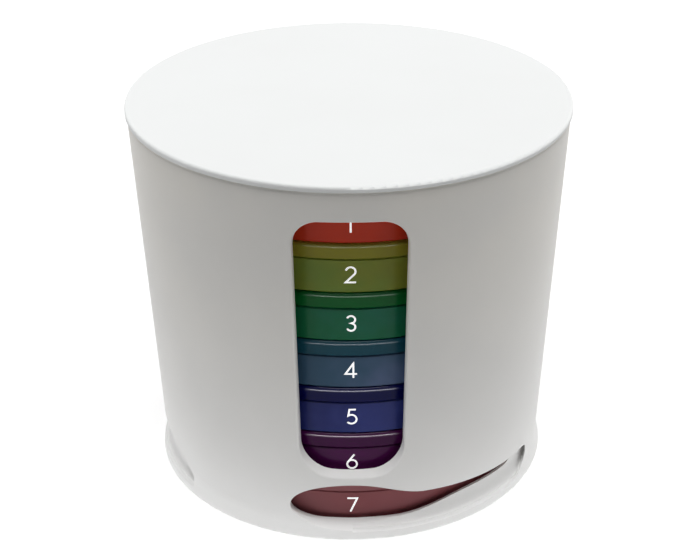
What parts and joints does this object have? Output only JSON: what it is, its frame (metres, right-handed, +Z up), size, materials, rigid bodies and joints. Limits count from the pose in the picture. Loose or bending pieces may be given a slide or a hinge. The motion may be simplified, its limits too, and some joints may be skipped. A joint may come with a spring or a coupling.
{
  "type": "weekly pill box",
  "caption": "Tapered white tub with a lift-off lid holding a stack of coloured round day pods, seen through a tall window and a swept finger slot; each pod has pill cells and a turning cover.",
  "frame": {"origin": "centre of the base, on the surface that the tub stands on", "axes": "+Z up; the window and the numbered fronts of the pods face -Y; +X is to the right of someone who looks at the window"},
  "size_m": [0.121, 0.121, 0.1075],
  "materials": {
    "white_shell": "moulded white plastic with a fine satin texture",
    "white_lid": "moulded white plastic, smooth satin",
    "day_1_plastic": "translucent red plastic, polished",
    "day_2_plastic": "translucent olive yellow plastic, polished",
    "day_3_plastic": "translucent green plastic, polished",
    "day_4_plastic": "translucent teal plastic, polished",
    "day_5_plastic": "translucent indigo plastic, polished",
    "day_6_plastic": "translucent purple plastic, polished",
    "day_7_plastic": "translucent maroon plastic, polished"
  },
  "bodies": {
    "tub": {"tub": "white_shell"},
    "pod_7": {"pod_tray_7": "day_7_plastic", "hub_pin_7": "day_7_plastic"},
    "cover_7": {"pod_cover_7": "day_7_plastic"},
    "pod_6": {"pod_tray_6": "day_6_plastic", "hub_pin_6": "day_6_plastic"},
    "cover_6": {"pod_cover_6": "day_6_plastic"},
    "pod_5": {"pod_tray_5": "day_5_plastic", "hub_pin_5": "day_5_plastic"},
    "cover_5": {"pod_cover_5": "day_5_plastic"},
    "pod_4": {"pod_tray_4": "day_4_plastic", "hub_pin_4": "day_4_plastic"},
    "cover_4": {"pod_cover_4": "day_4_plastic"},
    "pod_3": {"pod_tray_3": "day_3_plastic", "hub_pin_3": "day_3_plastic"},
    "cover_3": {"pod_cover_3": "day_3_plastic"},
    "pod_2": {"pod_tray_2": "day_2_plastic", "hub_pin_2": "day_2_plastic"},
    "cover_2": {"pod_cover_2": "day_2_plastic"},
    "pod_1": {"pod_tray_1": "day_1_plastic", "hub_pin_1": "day_1_plastic"},
    "cover_1": {"pod_cover_1": "day_1_plastic"},
    "lid": {"lid": "white_lid"}
  },
  "joints": [
    {"name": "pod_lift_7", "type": "slide", "parent": "tub", "child": "pod_7", "axis": [0, 0, 1], "range_m": [0, 0.109]},
    {"name": "cover_turn_7", "type": "hinge", "parent": "pod_7", "child": "cover_7", "pos_m": [0, 0, 0.0162], "axis": [0, 0, 1], "continuous": true},
    {"name": "pod_lift_6", "type": "slide", "parent": "pod_7", "child": "pod_6", "axis": [0, 0, 1], "range_m": [0, 0.095]},
    {"name": "cover_turn_6", "type": "hinge", "parent": "pod_6", "child": "cover_6", "pos_m": [0, 0, 0.0302], "axis": [0, 0, 1], "continuous": true},
    {"name": "pod_lift_5", "type": "slide", "parent": "pod_6", "child": "pod_5", "axis": [0, 0, 1], "range_m": [0, 0.081]},
    {"name": "cover_turn_5", "type": "hinge", "parent": "pod_5", "child": "cover_5", "pos_m": [0, 0, 0.0442], "axis": [0, 0, 1], "continuous": true},
    {"name": "pod_lift_4", "type": "slide", "parent": "pod_5", "child": "pod_4", "axis": [0, 0, 1], "range_m": [0, 0.067]},
    {"name": "cover_turn_4", "type": "hinge", "parent": "pod_4", "child": "cover_4", "pos_m": [0, 0, 0.0582], "axis": [0, 0, 1], "continuous": true},
    {"name": "pod_lift_3", "type": "slide", "parent": "pod_4", "child": "pod_3", "axis": [0, 0, 1], "range_m": [0, 0.053]},
    {"name": "cover_turn_3", "type": "hinge", "parent": "pod_3", "child": "cover_3", "pos_m": [0, 0, 0.0722], "axis": [0, 0, 1], "continuous": true},
    {"name": "pod_lift_2", "type": "slide", "parent": "pod_3", "child": "pod_2", "axis": [0, 0, 1], "range_m": [0, 0.039]},
    {"name": "cover_turn_2", "type": "hinge", "parent": "pod_2", "child": "cover_2", "pos_m": [0, 0, 0.0862], "axis": [0, 0, 1], "continuous": true},
    {"name": "pod_lift_1", "type": "slide", "parent": "pod_2", "child": "pod_1", "axis": [0, 0, 1], "range_m": [0, 0.025]},
    {"name": "cover_turn_1", "type": "hinge", "parent": "pod_1", "child": "cover_1", "pos_m": [0, 0, 0.1002], "axis": [0, 0, 1], "continuous": true},
    {"name": "lid_lift", "type": "slide", "parent": "pod_1", "child": "lid", "axis": [0, 0, 1], "range_m": [0, 0.03]}
  ]
}
